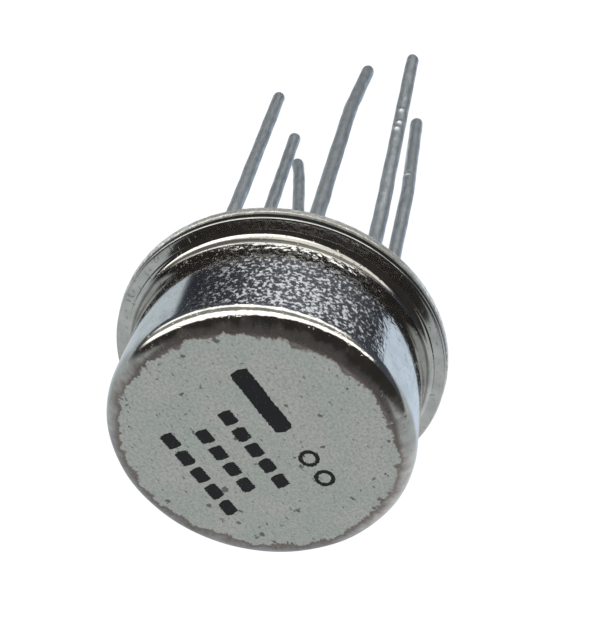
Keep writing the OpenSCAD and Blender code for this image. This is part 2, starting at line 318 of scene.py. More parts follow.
def lathe(name, profile, shift, columns):
    # profile[i] = (r, z) runs from the axis out and back to the axis. Point (i, j) is at the angle
    # j of a turn, at the profile's point moved along the profile's normal by shift(angle, i).
    # The two ends on the axis are single points, so the skin is closed.
    edge = np.gradient(profile, axis=0)
    normal = np.stack([-edge[:, 1], edge[:, 0]], -1) / np.linalg.norm(edge, axis=1)[:, None]
    angle = np.arange(columns) * 2 * math.pi / columns
    shifts = shift(angle[None, :], np.arange(1, len(profile) - 1)[:, None])
    moved = profile[1:-1, None, :] + normal[1:-1, None, :] * shifts[..., None]
    grid = np.stack([moved[..., 0] * np.cos(angle), moved[..., 0] * np.sin(angle), moved[..., 1]], -1)
    points = np.concatenate([grid.reshape(-1, 3), [[0, 0, profile[0, 1]], [0, 0, profile[-1, 1]]]]) * mm
    rows = len(profile) - 2
    index = np.arange(rows * columns).reshape(rows, columns)
    after = np.roll(index, -1, 1)
    quads = np.stack([index[:-1], index[1:], after[1:], after[:-1]], -1).reshape(-1, 4)
    first = np.stack([np.full(columns, rows * columns), index[0], after[0]], -1)
    last = np.stack([np.full(columns, rows * columns + 1), after[-1], index[-1]], -1)
    return newPiece(name, points, quads.tolist() + first.tolist() + last.tolist(), smooth=True)


cap = {                                # mm, and angles in degrees
    "wall": 3.95,                      # outer radius of the drawn wall
    "top": 4.0,                        # height of the crown
    "thick": 0.25,
    "crown": 0.55,                     # rounding of the crown's edge
    "flare": 1.4, "flareLean": 14,     # slow arc at the foot of the wall, and the lean at its end
    "foot": 0.65, "footLean": 37,      # quicker arc below it
    "corner": 0.17,                    # small arc into the flange
    "flangeFlat": 0.291, "flangeLow": 0.25, "flangeTop": 0.5,
    "rimRound": 0.05,
    "columns": 560,
    "sway": 0.004,                     # slow unevenness of the drawn wall
    "swayWave": 2.5,                   # its shortest wave
    "crownSway": 0.004,                # slow unevenness of the flat of the crown
    "crownWaves": [(2.1, 0.9, 1), (-1.2, 2.4, 0), (1.5, -2.9, 4)],     # radians per mm in x and y, start
    "blend": (2.8, 3.9),               # radii between which the crown's unevenness gives way to the wall's
    "still": (4.3, 4.5),               # radii between which the wall's dies out towards the weld
}


def capProfile(c):
    # the wall widens at its foot along three arcs, a slow one, a quicker one and a small corner;
    # where one hands over to the next, the wall leans out by the angle named for it
    slow, quick = compass(c["flareLean"])[:2], compass(c["footLean"])[:2]
    cornerAt = np.array([
        c["wall"] + c["flare"] * (1 - slow[0]) + c["foot"] * (slow[0] - quick[0]) + c["corner"] * quick[0],
        c["flangeTop"] + c["corner"],
    ])
    footAt = cornerAt + (c["foot"] - c["corner"]) * quick
    flareAt = footAt + (c["flare"] - c["foot"]) * slow
    rim = cornerAt[0] + c["flangeFlat"]
    outer = [
        line((0, c["top"]), (c["wall"] - c["crown"], c["top"]), 24)[:-1],
        arc(c["wall"] - c["crown"], c["top"] - c["crown"], c["crown"], 90, 0, 24)[:-1],
        line((c["wall"], c["top"] - c["crown"]), (c["wall"], flareAt[1]), 28)[:-1],
        arc(*flareAt, c["flare"], 180, 180 + c["flareLean"], 14)[:-1],
        arc(*footAt, c["foot"], 180 + c["flareLean"], 180 + c["footLean"], 14)[:-1],
        arc(*cornerAt, c["corner"], 180 + c["footLean"], 270, 12)[:-1],
        line((cornerAt[0], c["flangeTop"]), (rim - c["rimRound"], c["flangeTop"]), 6)[:-1],
        arc(rim - c["rimRound"], c["flangeTop"] - c["rimRound"], c["rimRound"], 90, 0, 6),
        arc(rim - c["rimRound"], c["flangeLow"] + c["rimRound"], c["rimRound"], 0, -90, 6),
    ]
    t = c["thick"]
    inner = [
        arc(*cornerAt, c["corner"] + t, 270, 180 + c["footLean"], 4)[:-1],
        arc(*footAt, c["foot"] + t, 180 + c["footLean"], 180 + c["flareLean"], 4)[:-1],
        arc(*flareAt, c["flare"] + t, 180 + c["flareLean"], 180, 4),
        arc(c["wall"] - c["crown"], c["top"] - c["crown"], c["crown"] - t, 0, 90, 7),
        np.array([[0, c["top"] - t]]),
    ]
    outerPoints = np.concatenate(outer)
    return np.concatenate([outerPoints] + inner), len(outerPoints)


def crownSway(x, y):
    # mean of three plane waves, each about 2 to 3 mm long
    total = 0
    for alongX, alongY, start in cap["crownWaves"]:
        total = total + np.cos(alongX * x + alongY * y + start)
    return cap["crownSway"] * total / 3


profile, outerCount = capProfile(cap)


def capShift(angle, row):
    # slow waves over the outer skin, none at the weld rim
    r, z = profile[row][..., 0], profile[row][..., 1]
    inside, outside = cap["blend"]
    sway = cap["sway"] * waves(3, angle, z, turns=(2, 14), pitch=cap["swayWave"])
    sway = sway * smoothStep(inside, outside, r)
    sway = sway * smoothStep(cap["still"][1], cap["still"][0], r)
    flat = crownSway(r * np.cos(angle), r * np.sin(angle)) * smoothStep(outside, inside, r)
    return (row < outerCount) * (sway + flat)


capPiece = lathe("capShell", profile, capShift, cap["columns"])
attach(capPiece, "root")
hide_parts("cap")
print("cap ready")

marks = {                      # mm
    "film": 0.004,             # thickness of the ink
    "sunk": 0.002,             # how far its underside is in the plate
    "thinning": 0.02,          # width of the edge that thins to nothing
    "dashes": [                # row's y, its left and right end, count, half height
        (0.95, -2.2, -0.1, 1, 0.25),
        (-0.1, -1.3, 1.4, 5, 0.19),
        (-0.98, -1.1, 1.12, 4, 0.19),
        (-1.86, -1.4, 1.6, 5, 0.19),
    ],
    "gap": 0.16,
    "dashGrid": (46, 15),      # points along and across a dash
    "squareness": 14,          # higher makes sharper corners
    "slant": 0.01,             # sway of a dash's ends
    "rings": [(0.9, 0.98), (1.62, 0.98)],
    "ring": (0.16, 0.27),      # inner and outer radius
    "ringGrid": (9, 72),
    "ragged": 0.026,           # wander of the ink's edge
    "ringRagged": 0.4,         # share of it on the rings
}


def inkPatch(x, y, rim):
    # a closed film over a grid of points: x and y are the grid, and rim is 0 at its edge, where the
    # film thins to nothing, and 1 inside
    z = cap["top"] + crownSway(x, y)
    top = np.stack([x, y, z + marks["film"] * rim], -1)
    low = np.stack([x, y, z - marks["sunk"] + 0 * rim], -1)
    return top, low


def edgeLoop(index):
    # the point numbers round the edge of a grid, in order
    return np.concatenate([index[0, :-1], index[:-1, -1], index[-1, :0:-1], index[:0:-1, 0]])


def closedFilm(top, low, wrap):
    # the top grid, the bottom grid turned over, and a strip of faces round their common edge
    rows, columns = top.shape[:2]
    upper = np.arange(rows * columns).reshape(rows, columns)
    lower = upper + rows * columns
    faces = [gridFaces(upper, wrap), gridFaces(lower, wrap)[:, ::-1]]
    if wrap:
        loops = [(upper[0], lower[0], True), (upper[-1], lower[-1], False)]
    else:
        loops = [(edgeLoop(upper), edgeLoop(lower), True)]
    for up, down, forward in loops:
        band = np.stack([up, down, np.roll(down, -1), np.roll(up, -1)], -1)
        faces.append(band[:, ::-1] if forward else band)
    return np.concatenate([top.reshape(-1, 3), low.reshape(-1, 3)]), np.concatenate(faces)


chance = np.random.default_rng(11)
patches = []
along, across = marks["dashGrid"]
for rowY, left, right, count, half in marks["dashes"]:
    width = (right - left - (count - 1) * marks["gap"]) / count
    for k in range(count):
        start = left + k * (width + marks["gap"])
        u = np.linspace(0, 1, along)[:, None]
        v = np.linspace(-1, 1, across)[None, :]
        wander = marks["ragged"] * chance.normal(0, 0.5, (2, along, 1))
        endWander = marks["ragged"] * chance.normal(0, 0.5, (2, 1, across))
        # the height falls to nothing at the two ends, as a rounded rectangle's
        rounded = (1 - (2 * abs(u - 0.5)) ** marks["squareness"]) ** 0.25
        y = rowY + v * (half * rounded + np.where(v > 0, wander[0], wander[1]) * (np.abs(v) ** 3))
        x = start + u * width + endWander[0] * (1 - u) ** 6 - endWander[1] * u ** 6
        x = x + marks["slant"] * np.sin(7 * y + k)
        inside = np.minimum(np.minimum(u, 1 - u) * width, (1 - abs(v)) * half)
        rim = np.minimum(1, inside / marks["thinning"])
        patches.append((x + 0 * v, y + 0 * u, rim, False))
inner, outer = marks["ring"]
across, around = marks["ringGrid"]
for centerX, centerY in marks["rings"]:
    share = np.linspace(0, 1, across)[:, None]
    angle = np.linspace(0, 2 * math.pi, around, endpoint=False)[None, :]
    seed = int(31 + 10 * centerX)
    wander = marks["ragged"] * marks["ringRagged"] * waves(seed, angle, 0, turns=(3, 17), pitch=1)
    radius = inner + (outer - inner) * share + wander * (2 * share - 1)
    rim = np.minimum(1, np.minimum(share, 1 - share) * (outer - inner) / marks["thinning"])
    x, y = centerX + radius * np.cos(angle), centerY + radius * np.sin(angle)
    patches.append((x, y, rim + 0 * angle, True))
points, faces, count = [], [], 0
for x, y, rim, wrap in patches:
    top, low = inkPatch(x, y, rim)
    if wrap:
        top, low = top[::-1], low[::-1]
    patchPoints, patchFaces = closedFilm(top, low, wrap)
    points.append(patchPoints)
    faces.append(patchFaces + count)
    count += len(patchPoints)
inkPiece = newPiece("inkMarks", np.concatenate(points) * mm, np.concatenate(faces))
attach(inkPiece, "root")
print("ink marks ready")

leads = {                      # mm, and angles in degrees
    "circle": 5.08, "diameter": 0.45,
    "core": 0.43,              # bare wire, above the seating plane
    "head": 0.76, "headThick": 0.12,
    "platform": 1.5,           # the posts start at the top of the header's platform
    "length": 16.0,            # below the seating plane, along the wire
    "root": 2.0,               # straight to the first bend
    "bend": 3.0,               # radius of the bends
    "columns": 48, "spacing": 0.05,
    "coat": 0.006,             # how much the solder's thickness varies
    "coatStart": 0.8,          # over how much it sets in below the seating plane
    # scrapes and lumps: place along the lead, side it is on, height, half length, half width
    "scrapes": {
        "lead_1": [(13.85, 160, -0.05, 0.1, 40), (13.66, 176, 0.045, 0.1, 34), (15.2, 150, 0.014, 1.2, 60)],
        "lead_2": [
            (13.7, 205, 0.035, 0.12, 30), (12.85, 215, 0.04, 0.11, 34),
            (12.45, 195, 0.04, 0.13, 30), (14.6, 225, 0.015, 0.2, 24),
        ],
    },
    "shine": 0.03,             # a lump this high is rubbed fully bright
    "scales": {                # small bright scales on one lead
        "lead": "lead_2", "from": 6.4, "to": 12.2, "count": 16,
        "side": (212, 12),     # the middle and the spread
        "height": 0.008, "halfLength": (0.04, 0.1), "halfWidth": (10, 20),
    },
    "curl": ("lead_7", 1.7, 0.1, 236),     # lead, length of its curled end, how far, heading
    # place, post height, first bend's angle and heading, length to the second, its angle and
    # heading, and how much shorter the lead is cut
    "lead_1": (1, 1.04, 2.4, 84, 8.0, 2.6, -101, 0.25),
    "lead_2": (2, 0.6, 2.1, 82, 3.0, 2.7, 158, 0),
    "lead_3": (3, 1.04, 2.5, -13, 9.0, 3.8, -4, 0.25),
    "lead_5": (5, 0.6, 1.1, -108, 4.5, 1.4, 18, 0),
    "lead_6": (6, 0.6, 0.8, 62, 6.5, 0.3, -170, 0.08),
    "lead_7": (7, 0.6, 3.8, -124, 8.0, 3.7, -124, 0),
}


def turnAbout(axis, degrees):
    return np.array(Matrix.Rotation(math.radians(degrees), 3, axis.tolist()))


def leadPath(place, post, bend1, heading1, middle, bend2, heading2, cut):
    # the lead's centre line from the top of its head down to its tip, in steps of equal length:
    # straight, an arc, straight, an arc, straight
    start = compass(45 * place) * leads["circle"] / 2
    top = leads["platform"] + post
    arcs = [leads["bend"] * math.radians(b) for b in (bend1, bend2)]
    last = leads["length"] - cut - leads["root"] - middle - sum(arcs)
    lengths = [top + leads["root"], arcs[0], middle, arcs[1], last]
    s = np.arange(0, sum(lengths), leads["spacing"])
    s = np.append(s, sum(lengths))
    close = 1e-9       # rounding must not drop a point between two stretches
    turned = np.eye(3)
    point = start + [0, 0, top]
    path = np.zeros((len(s), 3))
    along = np.zeros((len(s), 3))
    done = 0
    for length, bend, heading in zip(lengths, (0, bend1, 0, bend2, 0), (0, heading1, 0, heading2, 0)):
        inside = (s >= done - close) & (s <= done + length + close)
        t = s[inside] - done
        down = turned @ np.array([0, 0, -1.0])
        if bend:
            side = turned @ compass(heading)
            angle = (t / leads["bend"])[:, None]
            path[inside] = point + leads["bend"] * (np.sin(angle) * down + (1 - np.cos(angle)) * side)
            along[inside] = np.cos(angle) * down + np.sin(angle) * side
            whole = math.radians(bend)
            point = point + leads["bend"] * (math.sin(whole) * down + (1 - math.cos(whole)) * side)
            turned = turnAbout(np.cross(down, side), bend) @ turned
        else:
            path[inside] = point + t[:, None] * down
            along[inside] = down
            point = point + length * down
        done += length
    return s, path, along, top


def sweep(name, path, along, radius):
    # radius[i, j] at the angle j round the point i of the path; across the path the frame is made
    # from one fixed direction, and the ends are closed with single points
    first = np.cross(along, [0.0, 1.0, 0.0])
    first /= np.linalg.norm(first, axis=1)[:, None]
    second = np.cross(along, first)
    columns = radius.shape[1]
    angle = np.arange(columns) * 2 * math.pi / columns
    cosine, sine = np.cos(angle)[None, :, None], np.sin(angle)[None, :, None]
    grid = path[:, None, :] + radius[..., None] * (cosine * first[:, None, :] + sine * second[:, None, :])
    rows = len(path)
    points = np.concatenate([grid.reshape(-1, 3), path[:1], path[-1:]]) * mm
    index = np.arange(rows * columns).reshape(rows, columns)
    after = np.roll(index, -1, 1)
    quads = np.stack([index[:-1], after[:-1], after[1:], index[1:]], -1).reshape(-1, 4)
    firstFan = np.stack([np.full(columns, rows * columns), after[0], index[0]], -1)
    lastFan = np.stack([np.full(columns, rows * columns + 1), index[-1], after[-1]], -1)
    return newPiece(name, points, quads.tolist() + firstFan.tolist() + lastFan.tolist(), smooth=True)


def leadRows(s, top):
    # rows are added where the radius steps: under the head, at the seating plane, and closer and
    # closer towards the round tip
    half = leads["diameter"] / 2
    steps = [leads["headThick"], leads["headThick"] + 0.001, top, top + 0.01]
    tip = s[-1] - half * (1 - np.sin(np.linspace(0, math.pi / 2, 9)[:-1]))
    rows = np.concatenate([s, steps, tip])
    return rows[np.argsort(rows)]


def leadSpots(name):
    # the scrapes and lumps of one lead, and its bright scales
    spots = list(leads["scrapes"].get(name, []))
    scales = leads["scales"]
    if name == scales["lead"]:
        chance = np.random.default_rng(41)
        for _ in range(scales["count"]):
            at = chance.uniform(scales["from"], scales["to"])
            side = chance.normal(*scales["side"])
            length, width = chance.uniform(*scales["halfLength"]), chance.uniform(*scales["halfWidth"])
            spots.append((at, side, scales["height"], length, width))
    return spots


leadPieces = []
for number, name in enumerate(["lead_1", "lead_2", "lead_3", "lead_5", "lead_6", "lead_7"]):
    s, path, along, top = leadPath(*leads[name])
    total = s[-1]
    half = leads["diameter"] / 2
    rows = leadRows(s, top)
    path = np.stack([np.interp(rows, s, path[:, k]) for k in range(3)], -1)
    along = np.stack([np.interp(rows, s, along[:, k]) for k in range(3)], -1)
    along /= np.linalg.norm(along, axis=1)[:, None]
    s = rows[:, None]
    angle = (np.arange(leads["columns"]) * 2 * math.pi / leads["columns"])[None, :]
    wire = np.where(s <= top, leads["core"] / 2, half)
    wire = np.where(s <= leads["headThick"], leads["head"] / 2, wire)
    tip = np.sqrt(np.clip(1 - (np.clip(s - (total - half), 0, half) / half) ** 2, 0, 1))
    # the solder is uneven below the seating plane, more so in a spot, which falls off as a bell
    coated = smoothStep(top, top + leads["coatStart"], s)
    relief = leads["coat"] * waves(20 + number, angle, s, turns=(0, 3), pitch=1.2, count=14) * coated
    scraped = 0 * s + 0 * angle
    for at, side, height, length, width in leadSpots(name):
        off = (np.degrees(angle) - side + 180) % 360 - 180
        spot = np.exp(-((s - at) / length) ** 2 - (off / width) ** 2)
        relief = relief + height * spot
        scraped = np.maximum(scraped, spot * min(1, height / leads["shine"]) * (height > 0))
    if name == leads["curl"][0]:
        _, length, reach, heading = leads["curl"]
        bow = reach * np.clip((s - total + length) / length, 0, 1) ** 2
        path = path + bow * compass(heading)
    piece = sweep(name + "Wire", path, along, (wire + relief) * tip)
    attribute = piece.data.attributes.new("scraped", "FLOAT", "POINT")
    attribute.data.foreach_set("value", np.append(scraped.ravel(), [0, 0]).astype(np.float32))
    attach(piece, "root")
    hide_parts(name)
    leadPieces.append(piece)
print("leads ready")


def surface(name, tones, roughness, grain, bump, metallic=0.0, fixed=(), stretch=1.0):
    # one noise, as coarse as grain in mm and longer along Z by stretch, moves the colour between
    # two tones and the roughness between two values, and lifts the surface by up to bump mm
    material, tree = newMaterial(name)
    coords = addNode(tree, "ShaderNodeTexCoord").outputs["Object"]
    placed = addNode(tree, "ShaderNodeMapping", {
        "Vector": coords, "Scale": (1, 1, 1 / stretch),
    }).outputs[0]
    noise = addNode(tree, "ShaderNodeTexNoise", {
        "Vector": placed, "Scale": 1 / (grain * mm), "Detail": 4.0,
    }).outputs[0]
    stops = ((0.32, tones[0]), (0.68, tones[1]))
    color = addNode(tree, "ShaderNodeValToRGB", {0: noise}, stops).outputs[0]
    rough = addNode(tree, "ShaderNodeMapRange", {
        "Value": noise, "From Min": 0.3, "From Max": 0.7, "To Min": roughness[0], "To Max": roughness[1],
    }).outputs[0]
    height = addNode(tree, "ShaderNodeBump", {
        "Height": noise, "Strength": 1.0, "Distance": bump * mm,
    }).outputs[0]
    values = {"Base Color": color, "Metallic": metallic, "Roughness": rough, "Normal": height}
    shader = addNode(tree, "ShaderNodeBsdfPrincipled", {**values, **dict(fixed)})
    finishMaterial(tree, shader.outputs[0])
    return material


def setMaterial(piece, material):
    piece.data.materials.clear()
    piece.data.materials.append(material)


capFinish = {     # sizes in mm, heights above the seating plane
    # matt skin on the flat of the crown, and how far each wander moves its edge
    "skinEdge": 4.08, "edgeSoft": 0.03,
    "lopsided": 0.16, "slow": 0.4, "ragged": 0.5, "rays": 0.27,
    "slowPitch": 0.9, "raggedPitch": 0.3,
    "skinTones": ("#A9AFAA", "#B2B2B0"), "skinRough": 0.42, "skinMetallic": 0.5,
    "mottle": 0.07, "mottleTone": "#8F958F",
    "speck": 0.3, "swirl": (0.12, 0.24),     # pitch of the specks, pitch and reach of what bends them
    "scratch": (0.2, 0.08, 0.3),             # length, width, and radians off the x axis
    "flawTone": "#504F48", "flawShare": 0.8, "flawDepth": 0.003,
    # band outside the skin where the plate is worn thin
    "wornBand": (0.04, 0.4), "wornHeights": (3.62, 3.8), "wornTone": "#8A7F79",
    # bare plate
    "plateTones": ("#DAD7D2", "#C4C2C0"), "patch": 0.45, "plateRough": 0.09,
    # grain of the drawn wall: it sets in over grainLow and weakens over grainHigh
    "grain": 0.16, "grainDepth": 0.014, "grainLow": (0.82, 0.98), "grainHigh": (3.4, 3.56),
    # scuffed side: degrees round Z, and how far that way it begins and is full
    "scuffed": 133, "scuffedReach": (3.0, 3.92),
    "fleck": 0.1, "fleckLimits": (0.57, 0.76), "fleckTone": "#CBD2DA", "fleckShare": 0.85,
    "fleckLow": (1.2, 1.6), "fleckHigh": (3.38, 3.5),
    # turning marks on the flange
    "turnPitch": 0.045, "turnDepth": 0.0004, "turnHeights": (0.5, 0.62),
    # painted shade of the gap at the weld seam, on the outer edge of the flange below its rounding
    "seamRadii": (4.512, 4.52), "seamHeights": (0.43, 0.46), "seamShadeTone": "#2C3130",
    # painted shade along the hollow round the foot: height and half width
    "footShadeLine": (0.67, 0.055), "footShadeTone": "#5F5E5A", "footShadeShare": 0.6,
}


def capMaterial(c):
    # nickel plate over a deep-drawn can: matt grey on the flat of the crown, where the sheet kept
    # its rolled skin, worn through in a ragged brown edge; bright and grainy on the drawn wall,
    # with one side scuffed to white flecks; smooth on the foot and flange, with painted shade in
    # the hollow round the foot and at the weld seam
    material, tree = newMaterial("drawnNickelPlate")
    coords = addNode(tree, "ShaderNodeTexCoord").outputs["Object"]
    z = addNode(tree, "ShaderNodeSeparateXYZ", {0: coords}).outputs[2]
    flat = addNode(tree, "ShaderNodeVectorMath", {
        0: coords, 1: (1, 1, 0),
    }, operation="MULTIPLY").outputs[0]
    radius = addNode(tree, "ShaderNodeVectorMath", {0: flat}, operation="LENGTH").outputs["Value"]
    # the way round the axis and the distance from it, so a noise can run in rings or in rays
    heading = addNode(tree, "ShaderNodeVectorMath", {0: flat}, operation="NORMALIZE").outputs[0]
    reach = addNode(tree, "ShaderNodeCombineXYZ", {2: radius}).outputs[0]
    polar = addNode(tree, "ShaderNodeVectorMath", {0: heading, 1: reach}, operation="ADD").outputs[0]

    # ragged edge of the matt skin: slow wander, deep flakes, rays 0.09 mm wide and 0.5 mm long, and
    # further out on two sides
    slow = addNode(tree, "ShaderNodeTexNoise", {
        "Vector": coords, "Scale": 1 / (c["slowPitch"] * mm), "Detail": 1.0,
    }).outputs[0]
    ragged = addNode(tree, "ShaderNodeTexNoise", {
        "Vector": coords, "Scale": 1 / (c["raggedPitch"] * mm), "Detail": 4.0,
    }).outputs[0]
    rays = addNode(tree, "ShaderNodeMapping", {"Vector": polar, "Scale": (45, 45, 2 / mm)}).outputs[0]
    rays = addNode(tree, "ShaderNodeTexNoise", {"Vector": rays, "Scale": 1.0, "Detail": 3.0}).outputs[0]
    lopsided = addNode(tree, "ShaderNodeVectorMath", {
        0: coords, 1: (0.2 / mm, -0.2 / mm, 0),
    }, operation="DOT_PRODUCT").outputs["Value"]
    lopsided = addNode(tree, "ShaderNodeMath", {0: lopsided, 1: 2.0}, operation="POWER").outputs[0]
    wander = radius
    for value, name in ((lopsided, "lopsided"), (slow, "slow"), (ragged, "ragged"), (rays, "rays")):
        wander = addNode(tree, "ShaderNodeMath", {
            0: value, 1: c[name] * mm, 2: wander,
        }, operation="MULTIPLY_ADD").outputs[0]
    edge, soft = c["skinEdge"] * mm, c["edgeSoft"] * mm
    bare = addNode(tree, "ShaderNodeMapRange", {
        "Value": wander, "From Min": edge - soft, "From Max": edge + soft,
    }).outputs[0]
    near, far = c["wornBand"]
    worn = addNode(tree, "ShaderNodeMapRange", {
        "Value": wander, "From Min": edge + near * mm, "From Max": edge + far * mm, "To Min": 1.0,
        "To Max": 0.0,
    }).outputs[0]
    low, high = c["wornHeights"]
    crown = addNode(tree, "ShaderNodeMapRange", {
        "Value": z, "From Min": low * mm, "From Max": high * mm,
    }).outputs[0]
    worn = addNode(tree, "ShaderNodeMath", {0: worn, 1: crown}, operation="MULTIPLY").outputs[0]

    # matt skin: mottled, with odd specks and short scratches from handling
    pitch, bend = c["swirl"]
    swirl = addNode(tree, "ShaderNodeTexNoise", {
        "Vector": coords, "Scale": 1 / (pitch * mm), "Detail": 1.0,
    }).outputs["Color"]
    swirl = addNode(tree, "ShaderNodeVectorMath", {
        0: swirl, 1: (bend * mm,) * 3, 2: coords,
    }, operation="MULTIPLY_ADD").outputs[0]
    cells = addNode(tree, "ShaderNodeTexVoronoi", {
        "Vector": swirl, "Scale": 1 / (c["speck"] * mm), "Randomness": 1.0,
    }).outputs
    size = addNode(tree, "ShaderNodeSeparateXYZ", {0: cells["Color"]}).outputs[0]
    size = addNode(tree, "ShaderNodeMapRange", {
        "Value": size, "From Min": 0.4, "From Max": 1.0, "To Min": 0.0, "To Max": 0.31,
    }).outputs[0]
    specks = addNode(tree, "ShaderNodeMath", {
        0: size, 1: cells["Distance"],
    }, operation="SUBTRACT").outputs[0]
    specks = addNode(tree, "ShaderNodeMapRange", {
        "Value": specks, "From Min": -0.02, "From Max": 0.05,
    }).outputs[0]
    length, width, turn = c["scratch"]
    placed = addNode(tree, "ShaderNodeMapping", {
        "Vector": coords, "Rotation": (0, 0, turn), "Scale": (width / length, 1, 1),
    }).outputs[0]
    scratches = addNode(tree, "ShaderNodeTexNoise", {
        "Vector": placed, "Scale": 1 / (width * mm), "Detail": 2.0,
    }).outputs[0]
    scratches = addNode(tree, "ShaderNodeMapRange", {
        "Value": scratches, "From Min": 0.65, "From Max": 0.73,
    }).outputs[0]
    flaws = addNode(tree, "ShaderNodeMath", {0: specks, 1: scratches}, operation="MAXIMUM").outputs[0]
    mottle = addNode(tree, "ShaderNodeTexNoise", {
        "Vector": coords, "Scale": 1 / (c["mottle"] * mm), "Detail": 3.0,
    }).outputs[0]
    stops = ((0.35, c["skinTones"][0]), (0.65, c["skinTones"][1]))
    skin = addNode(tree, "ShaderNodeValToRGB", {0: slow}, stops).outputs[0]
    mottled = addNode(tree, "ShaderNodeMapRange", {
        "Value": mottle, "From Min": 0.35, "From Max": 0.68, "To Max": 0.8,
    }).outputs[0]
    skin = addNode(tree, "ShaderNodeMix", {
        0: mottled, 6: skin, 7: linearColor(c["mottleTone"]),
    }, data_type="RGBA").outputs[2]
    flawed = addNode(tree, "ShaderNodeMath", {
        0: flaws, 1: c["flawShare"],
    }, operation="MULTIPLY").outputs[0]
    skin = addNode(tree, "ShaderNodeMix", {
        0: flawed, 6: skin, 7: linearColor(c["flawTone"]),
    }, data_type="RGBA").outputs[2]

    # drawn wall: grain where the sheet was stretched, deeper and with white flecks on one side
    low, high = c["grainLow"]
    lower = addNode(tree, "ShaderNodeMapRange", {
        "Value": z, "From Min": low * mm, "From Max": high * mm, "To Min": 0.1, "To Max": 1.0,
    }).outputs[0]
    low, high = c["grainHigh"]
    upper = addNode(tree, "ShaderNodeMapRange", {
        "Value": z, "From Min": low * mm, "From Max": high * mm, "To Min": 1.0, "To Max": 0.42,
    }).outputs[0]
    wall = addNode(tree, "ShaderNodeMath", {0: lower, 1: upper}, operation="MULTIPLY").outputs[0]
    angle = math.radians(c["scuffed"])
    side = addNode(tree, "ShaderNodeVectorMath", {
        0: coords, 1: (math.cos(angle), math.sin(angle), 0),
    }, operation="DOT_PRODUCT").outputs["Value"]
    low, high = c["scuffedReach"]
    side = addNode(tree, "ShaderNodeMapRange", {
        "Value": side, "From Min": low * mm, "From Max": high * mm,
    }).outputs[0]
    scuffed = addNode(tree, "ShaderNodeMath", {0: side, 1: wall}, operation="MULTIPLY").outputs[0]
    grain = addNode(tree, "ShaderNodeTexNoise", {
        "Vector": coords, "Scale": 1 / (c["grain"] * mm), "Detail": 1.5,
    }).outputs[0]
    grain = addNode(tree, "ShaderNodeMath", {0: grain, 1: 0.5}, operation="SUBTRACT").outputs[0]
    deep = addNode(tree, "ShaderNodeMapRange", {
        "Value": side, "From Max": 0.3, "To Min": 0.1, "To Max": 1.0,
    }).outputs[0]
    deep = addNode(tree, "ShaderNodeMath", {0: deep, 1: wall}, operation="MULTIPLY").outputs[0]
    grain = addNode(tree, "ShaderNodeMath", {0: grain, 1: deep}, operation="MULTIPLY").outputs[0]
    # a fleck is where this noise, lifted on the scuffed side, rises over a limit
    flecks = addNode(tree, "ShaderNodeTexNoise", {
        "Vector": coords, "Scale": 1 / (c["fleck"] * mm), "Detail": 1.5,
    }).outputs[0]
    flecks = addNode(tree, "ShaderNodeMath", {
        0: scuffed, 1: 0.1, 2: flecks,
    }, operation="MULTIPLY_ADD").outputs[0]
    low, high = c["fleckLimits"]
    flecks = addNode(tree, "ShaderNodeMapRange", {
        "Value": flecks, "From Min": low, "From Max": high,
    }).outputs[0]
    low, high = c["fleckLow"]
    lower = addNode(tree, "ShaderNodeMapRange", {
        "Value": z, "From Min": low * mm, "From Max": high * mm, "To Min": 0.15, "To Max": 1.0,
    }).outputs[0]
    low, high = c["fleckHigh"]
    upper = addNode(tree, "ShaderNodeMapRange", {
        "Value": z, "From Min": low * mm, "From Max": high * mm, "To Min": 1.0, "To Max": 0.0,
    }).outputs[0]
    fade = addNode(tree, "ShaderNodeMapRange", {"Value": scuffed, "From Max": 0.9}).outputs[0]
    for value in (lower, upper, fade):
        flecks = addNode(tree, "ShaderNodeMath", {0: flecks, 1: value}, operation="MULTIPLY").outputs[0]

    # turning marks on the flange: rings, each broken about every millimetre
    turned = addNode(tree, "ShaderNodeMapping", {
        "Vector": polar, "Scale": (3.9, 3.9, 1 / (c["turnPitch"] * mm)),
    }).outputs[0]
    turned = addNode(tree, "ShaderNodeTexNoise", {
        "Vector": turned, "Scale": 1.0, "Detail": 2.0,
    }).outputs[0]
    low, high = c["turnHeights"]
    flange = addNode(tree, "ShaderNodeMapRange", {
        "Value": z, "From Min": low * mm, "From Max": high * mm, "To Min": 1.0, "To Max": 0.0,
    }).outputs[0]
    turned = addNode(tree, "ShaderNodeMath", {0: turned, 1: flange}, operation="MULTIPLY").outputs[0]
    # painted shade in the seam at the weld, and painted shade in the hollow round the foot
    low, high = c["seamRadii"]
    outer = addNode(tree, "ShaderNodeMapRange", {
        "Value": radius, "From Min": low * mm, "From Max": high * mm,
    }).outputs[0]
    low, high = c["seamHeights"]
    below = addNode(tree, "ShaderNodeMapRange", {
        "Value": z, "From Min": low * mm, "From Max": high * mm, "To Min": 1.0, "To Max": 0.0,
    }).outputs[0]
    seamShade = addNode(tree, "ShaderNodeMath", {0: outer, 1: below}, operation="MULTIPLY").outputs[0]
    # painted shade: a darker grey line in the hollow round the foot, between the flange and the wall
    height, width = c["footShadeLine"]
    dullAndShade = addNode(tree, "ShaderNodeMath", {
        0: z, 1: height * mm, 2: width * mm,
    }, operation="COMPARE").outputs[0]

